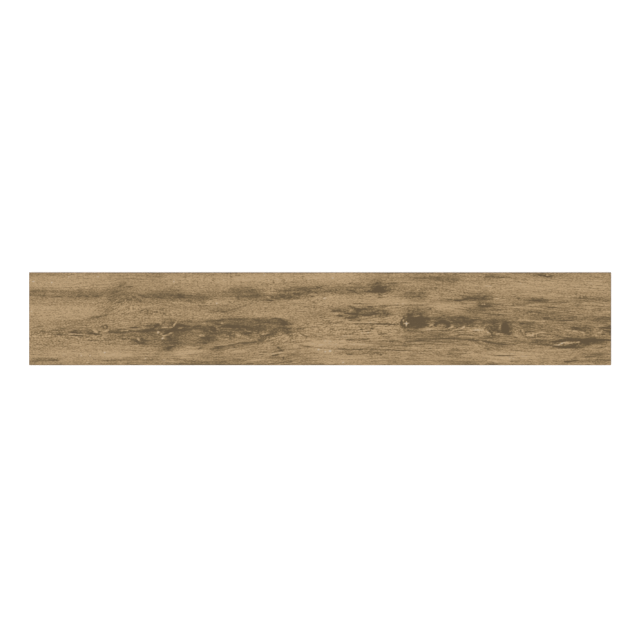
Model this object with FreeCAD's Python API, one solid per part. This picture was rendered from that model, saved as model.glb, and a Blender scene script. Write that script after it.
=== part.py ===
import FreeCAD, Part
import math
import os

# Wood look porcelain plank tile: one slab of clay, pressed, printed, fired and ground square.
#
# Millimetres. +X runs along the plank, +Y across it and +Z out of the printed face.
# The origin is the centre of the back, on the plane that its ribs and ledge stand on.

# Slab
LENGTH = 1190.0
WIDTH = 190.0
THICKNESS = 9.5
FACE_ARRIS = 0.6  # 45 degree bevel that the squaring wheels leave round the printed face
BACK_ARRIS = 0.8  # 45 degree bevel round the back

# Keyed back: inside a flat ledge, a grid of shallow recesses that the adhesive grips
LEDGE = 12.0  # from the tile's side to the outermost recesses
RIB = 3.0  # flat crown between two recesses
RECESS = 18.0  # about how wide a recess is at its mouth, in both directions
RECESS_DEPTH = 0.9
RECESS_DRAFT = 35.0  # lean of a recess's walls from upright, in degrees, so that the punch lets go

BACK_Z = 0.0
FACE_Z = BACK_Z + THICKNESS
SAME = 1e-6  # two heights closer than this are one height


def rectangle(centre_x, centre_y, size_x, size_y, z):
    """The four corners of a level rectangle, in order round it."""
    return [
        FreeCAD.Vector(centre_x + side_x * size_x / 2, centre_y + side_y * size_y / 2, z)
        for side_x, side_y in ((-1, -1), (1, -1), (1, 1), (-1, 1))
    ]


def outline(corners):
    """A closed wire through the corners."""
    return Part.makePolygon(corners + corners[:1])


def level_edges(solid, z):
    """The edges of a solid that lie flat at one height."""
    return [edge for edge in solid.Edges if all(abs(v.Z - z) < SAME for v in edge.Vertexes)]


def ground_slab():
    """The slab with square sides and an arris round its face and its back."""
    corner = FreeCAD.Vector(-LENGTH / 2, -WIDTH / 2, BACK_Z)
    slab = Part.makeBox(LENGTH, WIDTH, THICKNESS, corner)
    slab = slab.makeChamfer(FACE_ARRIS, level_edges(slab, FACE_Z))
    return slab.makeChamfer(BACK_ARRIS, level_edges(slab, BACK_Z))


def spread_recesses(overall):
    """Centres of the recesses along one direction, and how wide each is at its mouth.

    They fill the space inside the ledge, with a rib on the tile's centre line, so their
    number is even and their width is near RECESS.
    """
    space = overall - 2 * LEDGE
    count = 2 * round((space + RIB) / (RECESS + RIB) / 2)
    pitch = (space + RIB) / count
    centres = [(i - (count - 1) / 2) * pitch for i in range(count)]
    return centres, pitch - RIB


def recess_corners(centre_x, centre_y, size_x, size_y):
    """The corners of a recess at its mouth, on the back, and at its smaller floor."""
    narrowing = 2 * RECESS_DEPTH * math.tan(math.radians(RECESS_DRAFT))
    mouth = rectangle(centre_x, centre_y, size_x, size_y, BACK_Z)
    floor = rectangle(
        centre_x, centre_y, size_x - narrowing, size_y - narrowing, BACK_Z + RECESS_DEPTH
    )
    return mouth, floor


def recess_faces(mouth, floor):
    """The floor of a recess and its four leaning walls."""
    faces = [Part.Face(outline(floor))]
    for here in range(len(mouth)):
        after = (here + 1) % len(mouth)
        wall = [mouth[here], mouth[after], floor[after], floor[here]]
        faces.append(Part.Face(outline(wall)))
    return faces


def keyed(slab):
    """The slab with its plain back changed for one with recesses."""
    columns, size_x = spread_recesses(LENGTH)
    rows, size_y = spread_recesses(WIDTH)
    back = min(slab.Faces, key=lambda face: face.CenterOfMass.z)
    faces = [face for face in slab.Faces if not face.isSame(back)]
    mouths = []
    for x in columns:
        for y in rows:
            mouth, floor = recess_corners(x, y, size_x, size_y)
            mouths.append(outline(mouth))
            faces += recess_faces(mouth, floor)
    ribs_and_ledge = back.copy()
    ribs_and_ledge.cutHoles(mouths)
    skin = Part.Compound(faces + [ribs_and_ledge])
    skin.sewShape()
    return Part.Solid(skin)


os.makedirs("parts", exist_ok=True)
plank_tile = keyed(ground_slab())
plank_tile.exportStep("parts/plank_tile.step")
print(f"plank_tile: {len(plank_tile.Faces)} faces, {plank_tile.Volume / 1e3:.1f} cm3,",
      "valid" if plank_tile.isValid() else "NOT VALID")
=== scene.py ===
"""Wood look porcelain plank tile.

A slab of clay that is pressed on a keyed punch, printed with a plank's grain, fired, and ground
square. +X runs along the plank, +Y across it and +Z out of its printed face. The grain is drawn
once, as fields on the face, and both the print and the shallow relief under it follow them.
"""

import math
from collections import namedtuple

import bpy
import numpy as np
from bpy.props import FloatProperty, FloatVectorProperty, PointerProperty
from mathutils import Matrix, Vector


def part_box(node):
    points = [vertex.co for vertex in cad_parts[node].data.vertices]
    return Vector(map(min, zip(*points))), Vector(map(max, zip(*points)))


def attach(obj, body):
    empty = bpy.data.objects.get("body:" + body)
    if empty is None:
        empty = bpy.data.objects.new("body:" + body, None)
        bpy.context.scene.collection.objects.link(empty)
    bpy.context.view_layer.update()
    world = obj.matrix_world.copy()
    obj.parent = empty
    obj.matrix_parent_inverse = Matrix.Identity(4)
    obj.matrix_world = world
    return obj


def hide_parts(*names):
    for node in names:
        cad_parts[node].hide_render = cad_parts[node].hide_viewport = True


bl_info = {
    "name": "Wood look plank tile",
    "version": (1, 0, 0),
    "blender": (4, 5, 0),
    "location": "3D View > Sidebar > Plank Tile",
    "description": "Makes a porcelain plank tile with a wood look face and a keyed back",
    "category": "Mesh",
}

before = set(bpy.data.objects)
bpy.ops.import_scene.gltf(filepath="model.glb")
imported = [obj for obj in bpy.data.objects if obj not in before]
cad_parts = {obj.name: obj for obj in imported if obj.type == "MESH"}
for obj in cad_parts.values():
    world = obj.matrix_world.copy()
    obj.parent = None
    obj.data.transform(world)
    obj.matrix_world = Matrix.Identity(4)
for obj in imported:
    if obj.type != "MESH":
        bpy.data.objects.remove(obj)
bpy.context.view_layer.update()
SLAB_LOW, SLAB_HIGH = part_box("plank_tile")
SLAB = SLAB_HIGH - SLAB_LOW

MM = 0.001

# Names of what the mesh stores for its materials and for later steps of the tree
FLOW = "grain_flow"
STAIN = "stain_depth"
SKIN = "skin"
BORDER = "border"
MOUTH = "mouth"

# The skins that SKIN tells apart, and the sockets that take their materials
PRINTED, GROUND, BISCUIT = range(3)
SKINS = {PRINTED: "Glaze", GROUND: "Ground porcelain", BISCUIT: "Biscuit"}

# Kinds of node that the trees use most
MATH = "ShaderNodeMath"
VECTOR = "ShaderNodeVectorMath"
NOISE = "ShaderNodeTexNoise"
RANGE = "ShaderNodeMapRange"
COMBINE = "ShaderNodeCombineXYZ"
SEPARATE = "ShaderNodeSeparateXYZ"
COMPARE = "FunctionNodeCompare"
STORE = "GeometryNodeStoreNamedAttribute"
ATTRIBUTE = "GeometryNodeInputNamedAttribute"
MOVE = "GeometryNodeSetPosition"
EXTRUDE = "GeometryNodeExtrudeMesh"
JOIN = "GeometryNodeJoinGeometry"
GROUP = "GeometryNodeGroup"
HERE = "GeometryNodeInputPosition"
MIX = "ShaderNodeMix"
FIRST, SECOND = 2, 3  # the sockets of a Compare node that take whole numbers

WELD = 0.01 * MM  # points that lie closer than this are one point
SHEET = 30  # stains that are drawn in one node group, because long groups are slow to build
LAYER = 7.3  # how far apart two layers of the noise lie, in its own units
WHITE = (1.0, 1.0, 1.0, 1.0)

# The figure of the wood. All its places and sizes are in mm: along is measured from the plank's
# left end and up from its lower edge, and a lean is in degrees, rising to the right.

# An eye parts the grain round a knot. Pull is how far lines part from its middle (over 1, they
# close in loops), and lift how many mm they all rise there.
Eye = namedtuple("Eye", "along up half_length half_width pull lift lean", defaults=(0, 0))
EYES = (
    Eye(240, 128, 100, 36, 0.0, 18),  # the rise over the flame
    Eye(150, 108, 40, 16, 0.0, -5),
    Eye(204, 146, 30, 26, 0.0, 16),  # the fold in the upper band
    Eye(663, 107, 46, 14, 0.6),
    Eye(713, 158, 22, 20, 0.2),
    Eye(1028, 62, 18, 8, 1.1),
    Eye(1110, 45, 60, 10, 0.6, 0, 3),
)

# The pith runs lengthwise under the face. The rings close in flames and ovals where it comes near.
PITH_PLACE = ((0, 67), (300, 66), (440, 66), (545, 74), (690, 84), (790, 88), (965, 77), (1190, 66))
PITH_DEPTH = (
    *((0, 17), (100, 10), (200, 4), (290, 0), (400, 8), (480, 18), (545, 27), (640, 22)),
    *((750, 14), (790, 0), (840, 8), (910, 16), (965, 0), (1010, 12), (1090, 20), (1190, 26)),
)
CURVE_REACH = 1200.0  # what the two lines' own axes run to, because a curve's run from 0 to 1
WANDER = 14.0  # how far the grain lines stray up and down, all in all

# A stain is a darker patch (or, with a negative depth, a paler one). Depth 1 takes the ground
# colour to the darkest brown. At its half size it has faded by half, and edge is the share of its
# half size over which it fades. Bow is how far its middle stands out above its two ends. The bands
# along the face's borders are drawn as stains too, and they are painted shade.
Stain = namedtuple(
    "Stain", "along up half_length half_width depth lean edge bow", defaults=(0, 0.9, 0)
)
STROKE_EDGE = 0.6  # the edge of a fine line
FRAY = 0.65  # how far the grain frays a stain, in shares of its edge


def stroke(along, up, to_along, to_up, thick, depth, bow=0):
    """A fine line of the print, such as a crack, a pore line or the rim of a ring.

    It is a narrow stain from one end to the other, and thick is its half width. Its middle stands
    out by the bow to the left of the way it runs.
    """
    run = Vector((to_along - along, to_up - up))
    middle = ((along + to_along) / 2, (up + to_up) / 2)
    lean = math.degrees(math.atan2(run.y, run.x))
    return Stain(*middle, run.length / 2, thick, depth, lean, STROKE_EDGE, bow)


def stains(*rows):
    """Stains, each from a row of what Stain holds."""
    return [Stain(*row) for row in rows]


def strokes(*rows):
    """Fine lines, each from a row of what stroke takes."""
    return [stroke(*row) for row in rows]


UPPER_BAND = stains(
    (75, 146, 96, 11, 0.30), (8, 149, 22, 8, 0.16), (112, 142, 44, 7, 0.12),
    (166, 151, 18, 6, 0.18), (192, 165, 7, 5, 0.30, 30), (184, 158, 18, 8, 0.08, 40, 1.5),
    (174, 141, 34, 10, 0.08, 50, 1.6), (195, 154, 34, 8, 0.22), (205, 136, 46, 11, 0.16, 6),
    (160, 122, 22, 7, 0.20, 45), (156, 105, 17, 5, 0.22, 34), (285, 146, 45, 11, 0.35),
    (335, 138, 36, 7, 0.34, -4), (265, 137, 60, 11, 0.22), (370, 143, 34, 10, 0.28),
    (235, 106, 40, 6, 0.10, 5), (270, 118, 45, 4, 0.12, 4), (402, 115, 34, 6, 0.22, 6),
    (441, 147, 37, 12, 0.56), (541, 147, 36, 12, 0.44, 5), (505, 137, 34, 8, 0.26),
    (650, 153, 75, 8, 0.36), (675, 162, 24, 5, 0.20), (120, 145, 32, 9, 0.08),
    (482, 139, 28, 9, 0.16), (578, 152, 22, 8, 0.08), (190, 140, 26, 11, 0.16),
    (290, 144, 24, 10, 0.06), (748, 160, 22, 9, 0.16), (166, 116, 18, 9, 0.08, 50, 1.5),
)
UPPER_LIGHTS = stains(
    (72, 168, 88, 13, -0.28), (130, 186, 40, 6, -0.18), (60, 108, 84, 13, -0.26),
    (20, 118, 26, 10, -0.08), (385, 129, 18, 6, -0.18), (350, 100, 26, 6, -0.10),
    (480, 103, 50, 6, -0.16), (496, 179, 80, 9, -0.34), (622, 179, 55, 10, -0.38),
    (620, 134, 34, 9, -0.28), (746, 131, 36, 8, -0.32), (335, 176, 60, 10, -0.18),
    (1052, 165, 78, 9, -0.24), (1156, 162, 34, 10, -0.34), (410, 174, 36, 9, -0.20),
    (690, 133, 40, 6, -0.10),
)
FLAME = stains(
    (120, 93, 44, 4, 0.18, 6), (97, 69, 13, 3.2, 0.34), (123, 68, 9, 4, 0.24),
    (104, 69, 72, 7, 0.18), (159, 78, 14, 5, 0.26), (160, 60, 34, 8, 0.12), (295, 62, 98, 25, 0.44),
    (228, 71, 32, 5, 0.34), (260, 79, 18, 7, 0.30), (304, 76, 22, 12, 0.44), (334, 77, 20, 8, 0.12),
    (366, 75, 20, 9, 0.20, 0, 1.5), (290, 44, 18, 13, 0.34), (228, 48, 18, 7, 0.38),
    (274, 32, 20, 5, 0.26), (363, 54, 18, 9, 0.30), (350, 39, 16, 6, 0.34), (386, 34, 22, 6, 0.40),
    (450, 86, 80, 11, 0.38), (430, 80, 130, 24, 0.08), (502, 89, 20, 6, 0.18),
    (528, 74, 22, 10, 0.36, -20, 1.5), (508, 66, 20, 5, 0.14), (400, 72, 46, 12, 0.18),
    (460, 72, 60, 9, 0.26), (440, 43, 50, 4.5, 0.46, 8), (486, 58, 20, 6, 0.26, 20),
    (425, 98, 26, 4, 0.14), (370, 22, 44, 7, 0.14), (95, 82, 48, 10, 0.12), (188, 60, 28, 12, 0.10),
    (294, 60, 16, 15, 0.14), (396, 72, 22, 14, 0.12), (455, 84, 64, 13, 0.16),
    (474, 62, 36, 9, 0.20), (520, 17, 34, 9, 0.14), (376, 36, 18, 8, 0.10), (330, 92, 60, 6, 0.14),
    (436, 66, 40, 12, 0.10),
)
FLAME_LIGHTS = stains(
    (339, 60, 13, 5, -0.18), (100, 20, 80, 10, -0.22), (175, 22, 32, 9, -0.24),
    (318, 27, 26, 6, -0.22), (328, 24, 30, 9, -0.22), (196, 26, 30, 9, -0.12),
)
MIDDLE = stains(
    (716, 153, 11, 5.5, 0.58, 0, 0.8), (717, 160, 7, 6, 0.50, 0, 0.9),
    (708, 166, 11, 9, 0.36, -20, 1.6), (716, 160, 18, 14, 0.16, 0, 1.6),
    (733, 158, 24, 12, 0.20, 0, 1.5), (588, 102, 28, 6, 0.18), (628, 111, 16, 3.5, 0.30, 0, 1.4),
    (642, 116, 28, 4, 0.24), (655, 104, 26, 7, 0.34, 0, 1.4), (683, 109, 17, 9, 0.44, 0, 1.4),
    (662, 96, 16, 5, 0.30), (718, 108, 20, 8, 0.36, 0, 1.5), (715, 86, 54, 2.4, 0.22, -1),
    (635, 71, 50, 5, 0.04), (675, 53, 22, 4, 0.14), (745, 46, 42, 6, 0.22), (690, 27, 24, 4, 0.14),
    (716, 24, 12, 5, 0.26), (512, 34, 15, 7, 0.16, 0, 1.6), (540, 30, 40, 6, 0.10),
    (540, 16, 50, 9, 0.16), (700, 58, 22, 5, -0.14), (608, 43, 48, 9, -0.24),
    (602, 26, 24, 8, -0.16), (594, 76, 14, 7, -0.12), (660, 5, 26, 4, -0.16),
    (684, 113, 20, 8, 0.20), (720, 107, 24, 7, 0.18), (700, 68, 34, 9, -0.14),
    (610, 40, 34, 12, -0.14), (625, 12, 56, 8, -0.16),
)
KNOTS = stains(
    (792, 87, 20, 11.5, 0.98, 0, 0.6), (779, 99, 6, 5, 0.40), (817, 86, 7, 7, 0.18),
    (770, 87, 7, 10, 0.34, 0, 0.7), (770, 87, 12, 14, 0.50, 0, 0.5),
    (790, 106, 25, 11, 0.50, 0, 1.5), (831, 85, 4.5, 5, 0.50, 0, 0.8), (779, 73, 18, 8, 0.38),
    (858, 92, 48, 8, 0.46), (905, 84, 30, 8, 0.26), (919, 91, 15, 6, 0.26, 0, 1.4),
    (884, 88, 18, 10, 0.14, 0, 1.4), (850, 56, 80, 12, 0.26), (786, 142, 27, 10, 0.32),
    (802, 179, 36, 7, 0.26), (832, 164, 40, 14, 0.14), (981, 75, 10, 12, 0.42, 0, 1.6),
    (975, 76, 9, 12, 0.30, 0, 0.8), (950, 75, 12, 14, 0.28, 0, 1.2),
    (951, 79, 18, 16, 0.40, 0, 1.5), (950, 97, 40, 8, 0.26), (966, 57, 36, 6, 0.26),
    (950, 44, 32, 6, 0.44, -5), (966, 46, 16, 6, 0.14), (1005, 46, 40, 6, 0.36),
    (1034, 41, 20, 5, 0.26), (1012, 85, 24, 7, 0.22, -4), (1018, 77, 14, 9, 0.12),
    (850, 89, 56, 13, 0.22), (850, 58, 80, 16, 0.14), (806, 102, 16, 7, 0.30),
    (788, 146, 24, 10, 0.14), (880, 70, 34, 7, 0.22),
)
RIGHT_END = stains(
    # The first stain is painted shade: a dark band across the whole of the face's right end.
    (1188.5, 95, 1.2, 98, 0.22, 0, 0.4), (902, 135, 26, 4.5, 0.36, 4, 1.4),
    (860, 132, 34, 3.5, 0.26, 2), (932, 128, 16, 10, 0.30), (925, 113, 34, 10, 0.34),
    (955, 123, 18, 5, 0.26), (1000, 133, 28, 9, 0.20), (1042, 133, 22, 6, 0.34, -6),
    (1000, 110, 110, 16, 0.08), (885, 102, 26, 8, 0.14, 0, 1.4), (1145, 134, 34, 5, 0.26),
    (1074, 132, 50, 6, 0.22), (1100, 95, 46, 4, 0.10), (1175, 92, 22, 6, 0.34),
    (1131, 73, 20, 6, 0.38, -6), (1188, 70, 18, 12, 0.42), (1090, 80, 110, 38, 0.28),
    (1072, 44, 20, 7, 0.54), (1047, 46, 14, 6, 0.26), (1108, 38, 26, 6, 0.66),
    (1150, 49, 42, 6.5, 0.60, 3), (1094, 53, 16, 3.5, 0.34), (870, 25, 16, 8, 0.34),
    (883, 5, 34, 5, 0.38), (948, 2, 14, 3, 0.40), (1118, 9, 26, 5, 0.22), (1165, 15, 22, 10, 0.36),
    (1142, 23, 24, 7, 0.18), (850, 178, 32, 6, 0.28), (947, 180, 18, 6, 0.36),
    (922, 142, 36, 8, 0.26, 0, 1.4), (1060, 184, 40, 4, 0.18), (1025, 62, 7, 3.5, -0.16, 14),
    (860, 121, 36, 6, -0.20), (918, 68, 18, 6, -0.16), (965, 20, 66, 9, -0.26),
    (912, 137, 30, 9, 0.22), (929, 122, 16, 7, 0.18), (1150, 135, 34, 7, 0.10),
    (1156, 54, 32, 6, 0.28), (1150, 15, 36, 8, 0.08), (1010, 22, 60, 9, -0.12),
    (858, 176, 26, 8, 0.12),
)
EDGES = stains(
    # The first two are painted shade: dark bands along the whole length of the face's two long
    # borders.
    (595, 188.5, 800, 1.7, 0.18), (595, 1.5, 800, 1.7, 0.18), (273, 6, 14, 4, 0.14),
    (64, 2, 10, 3, 0.16), (205, 8, 50, 7, 0.20), (257, 12, 12, 6, 0.22), (258, 183, 20, 7, 0.18),
    (368, 2, 34, 6, 0.46), (320, 3, 26, 4, 0.34), (416, 8, 34, 8, 0.26), (475, 4, 50, 5, 0.24),
    (590, 3, 16, 3, 0.24), (622, 12, 30, 6, -0.14),
)
LEFT_LINES = strokes(
    (8, 77, 30, 80, 1.2, 0.60), (23, 69, 35, 69, 1.7, 0.50), (42, 63, 82, 62, 1.2, 0.85),
    (45, 71, 66, 71, 1.2, 0.50), (26, 68, 82, 66, 1.1, 0.45, -1), (60, 75, 76, 76, 1.1, 0.39),
    (70, 79, 90, 79, 1.1, 0.33), (84, 67, 94, 68, 1.5, 0.55), (92, 70, 98, 72, 1.5, 0.50),
    (84, 67, 112, 66, 1.4, 0.45), (81, 61, 112, 61, 1.2, 1.00), (77, 70, 87, 74, 1.2, -0.57),
    (80, 64, 108, 63, 1.3, -0.65), (60, 67, 78, 64, 1.2, -0.35), (106, 74, 116, 73, 1.2, -0.40),
    (84, 59, 104, 58, 1.2, -0.40), (121, 66, 144, 63, 1.4, 0.90), (131, 73, 139, 67, 2.2, -0.75),
    (122, 65, 128, 66, 1.4, 0.40), (114, 69, 123, 69, 2.4, 0.30), (127, 72, 131, 67, 1.5, 0.35),
    (141, 67, 145, 71, 1.3, 0.60, -1), (151, 74, 153, 80, 1.3, 0.80, -1),
    (154, 82, 160, 81, 1.3, 0.70), (158, 80, 161, 75, 1.6, 0.80, 1), (153, 75, 154, 78, 1.1, -0.45),
    (153, 79, 157, 79, 1.3, -0.90), (153, 69, 164, 72, 1.6, -0.75), (162, 70, 172, 71, 2.4, 0.50),
    (118, 94, 150, 101, 2.4, 0.35), (171, 70, 186, 71, 2.4, 0.22), (170, 74, 200, 73, 1.3, 0.54),
    (168, 67, 198, 67, 1.3, 0.54), (186, 71, 204, 71, 1.7, -0.80), (190, 69, 205, 68, 1.5, 0.63),
    (120, 99, 150, 100, 1.3, 0.45), (150, 100, 163, 104, 1.3, 0.45), (120, 51, 136, 51, 1.2, 0.45),
    (188, 54, 198, 54, 1.3, 0.51), (96, 141, 108, 141, 1.3, 0.40), (124, 141, 153, 142, 1.1, 0.32),
    (26, 143, 35, 143, 1.4, 0.30), (78, 140, 90, 140, 1.3, 0.28), (48, 142, 68, 140, 1.2, 0.24),
    (198, 161, 213, 161, 1.6, 0.65), (184, 160, 189, 163, 1.5, 0.35),
    (226, 112, 250, 112, 1.4, 0.35), (180, 128, 188, 129, 1.3, 0.30),
    (204, 140, 209, 141, 1.5, -0.45), (150, 139, 158, 138, 1.6, -0.40),
    (60, 57, 128, 58, 1.1, 0.22), (20, 49, 112, 50, 1.1, 0.20), (8, 43, 92, 44, 1.1, 0.20),
    (128, 45, 210, 43, 1.1, 0.22), (0, 36, 58, 36, 1.1, 0.18), (0, 13, 70, 12, 1.1, 0.22),
    (62, 24, 150, 25, 1.6, -0.16), (160, 22, 230, 21, 1.8, -0.16), (292, 23, 346, 24, 2.4, -0.20),
    (100, 55, 150, 56, 1.2, -0.18), (170, 32, 236, 34, 1.2, 0.18), (150, 58, 214, 60, 1.2, 0.22),
    (40, 29, 120, 31, 1.2, -0.14), (128, 128, 134, 128, 1.4, -0.40),
    (286, 143, 296, 143, 1.5, 0.45), (303, 145, 313, 144, 1.6, 0.50),
    (115, 141, 122, 141, 1.6, 0.50), (212, 162, 250, 163, 1.1, 0.30), (0, 10, 28, 10, 1.3, 0.50),
    (26, 10, 62, 10, 1.4, 0.70), (4, 14, 72, 13, 1.1, 0.40), (148, 10, 168, 9, 1.2, 0.45),
    (0, 7, 22, 7, 1.0, 0.36),
)
FLAME_LINES = strokes(
    (203, 77, 226, 77, 1.4, 0.90), (235, 80, 253, 79, 1.5, 0.75), (232, 72, 262, 72, 1.5, 0.75),
    (225, 69, 248, 69, 1.4, 0.66), (249, 70, 264, 84, 2.0, 0.70), (258, 81, 267, 83, 2.4, 0.50),
    (272, 87, 279, 88, 1.6, 0.60), (196, 74, 243, 75, 1.2, -0.60),
    (226, 78.5, 258, 78.5, 1.3, -0.55), (253, 75, 264, 74, 1.2, -0.66),
    (271, 77, 284, 78, 1.3, -1.40), (284, 77, 295, 78, 1.2, -1.10), (295, 79, 299, 86, 1.6, -1.50),
    (299, 86, 304, 94, 1.3, -0.85), (264, 65, 265, 70, 1.4, -2.10), (271, 55, 275, 55, 1.4, -2.20),
    (272, 56, 281, 55, 1.8, -0.60), (270, 65, 276, 60, 1.3, -0.80), (275, 60, 285, 62, 1.2, -0.70),
    (284, 64, 294, 67, 1.4, -0.90), (274, 68, 290, 69, 3.0, 0.45), (280, 58, 292, 58, 1.8, 0.60),
    (286, 49, 292, 55, 2.4, 0.50), (282, 35, 292, 38, 3.0, 0.40), (300, 82, 315, 81, 2.4, 0.50),
    (299, 77, 316, 77, 1.4, -0.85), (303, 75, 313, 75, 1.2, -0.40), (298, 82, 317, 82, 1.8, 0.75),
    (288, 70, 306, 78, 2.6, 0.63), (274, 63, 291, 71, 2.2, 0.51), (264, 71, 277, 73, 1.8, 0.63),
    (331, 76, 351, 81, 1.6, 0.72), (333, 71, 358, 71, 2.2, -0.51), (348, 61, 359, 60, 1.7, -0.66),
    (371, 79, 374, 71, 1.8, 0.80), (375, 72, 384, 72, 1.8, 0.90), (377, 76, 384, 75, 1.5, 0.60),
    (378, 79, 386, 76, 1.3, -0.50), (384, 76, 389, 70, 1.4, -0.70), (378, 69, 388, 69, 1.3, -0.40),
    (367, 72, 376, 67, 1.3, -0.51), (350, 56, 372, 56, 1.8, 0.55), (364, 62, 369, 48, 2.2, 0.50),
    (354, 45, 364, 45, 1.8, 0.63), (219, 48, 225, 48, 1.8, 0.75), (225, 45, 237, 46, 1.6, 0.75),
    (228, 56, 233, 52, 1.6, 0.66), (222, 55, 226, 50, 1.5, -1.70), (283, 34, 301, 41, 1.8, 0.69),
    (320, 37, 352, 37, 1.2, -0.51), (346, 35, 355, 35, 1.6, 0.60), (354, 90, 402, 92, 1.2, 0.60),
    (355, 86, 361, 86, 1.3, -0.81), (391, 86, 398, 85, 1.3, -0.81), (380, 83, 392, 83, 1.4, 0.63),
    (391, 79, 404, 81, 1.5, 0.63), (338, 122, 384, 122, 1.1, 0.60),
    (338, 124, 380, 124, 1.1, -0.45), (283, 118, 262, 116, 1.1, 0.28),
    (255, 139, 272, 138, 1.3, 0.51), (288, 128, 312, 128, 1.1, -0.45),
    (320, 132, 334, 132, 1.5, 0.50), (328, 142, 335, 142, 1.4, 0.45),
    (226, 139, 250, 139, 1.2, 0.36), (218, 142, 242, 143, 1.1, 0.30),
    (303, 146, 318, 137, 1.8, 0.45), (392, 108, 412, 112, 1.2, 0.45),
    (370, 106, 384, 109, 1.2, 0.51), (414, 113, 456, 127, 1.2, 0.39),
    (426, 142, 429, 131, 1.8, 0.45), (392, 94, 446, 95, 1.5, 0.39), (461, 92, 473, 92, 1.3, 0.51),
    (498, 96, 526, 84, 2.2, 0.51, 4), (516, 86, 526, 84, 3.0, 0.40), (434, 79, 445, 79, 2.0, 0.60),
    (437, 74, 445, 72, 1.4, -0.75), (424, 61, 434, 61, 1.6, -0.96), (436, 66, 458, 66, 1.8, 0.51),
    (440, 64, 456, 70, 1.2, -0.45, 2), (414, 80, 420, 76, 1.8, 0.54), (376, 37, 402, 39, 1.8, 0.66),
    (402, 39, 432, 46, 1.6, 0.39), (432, 45, 478, 50, 1.6, 0.39, -1), (466, 50, 500, 65, 3.2, 0.16),
    (476, 60, 492, 62, 2.4, 0.42),
)
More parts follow.
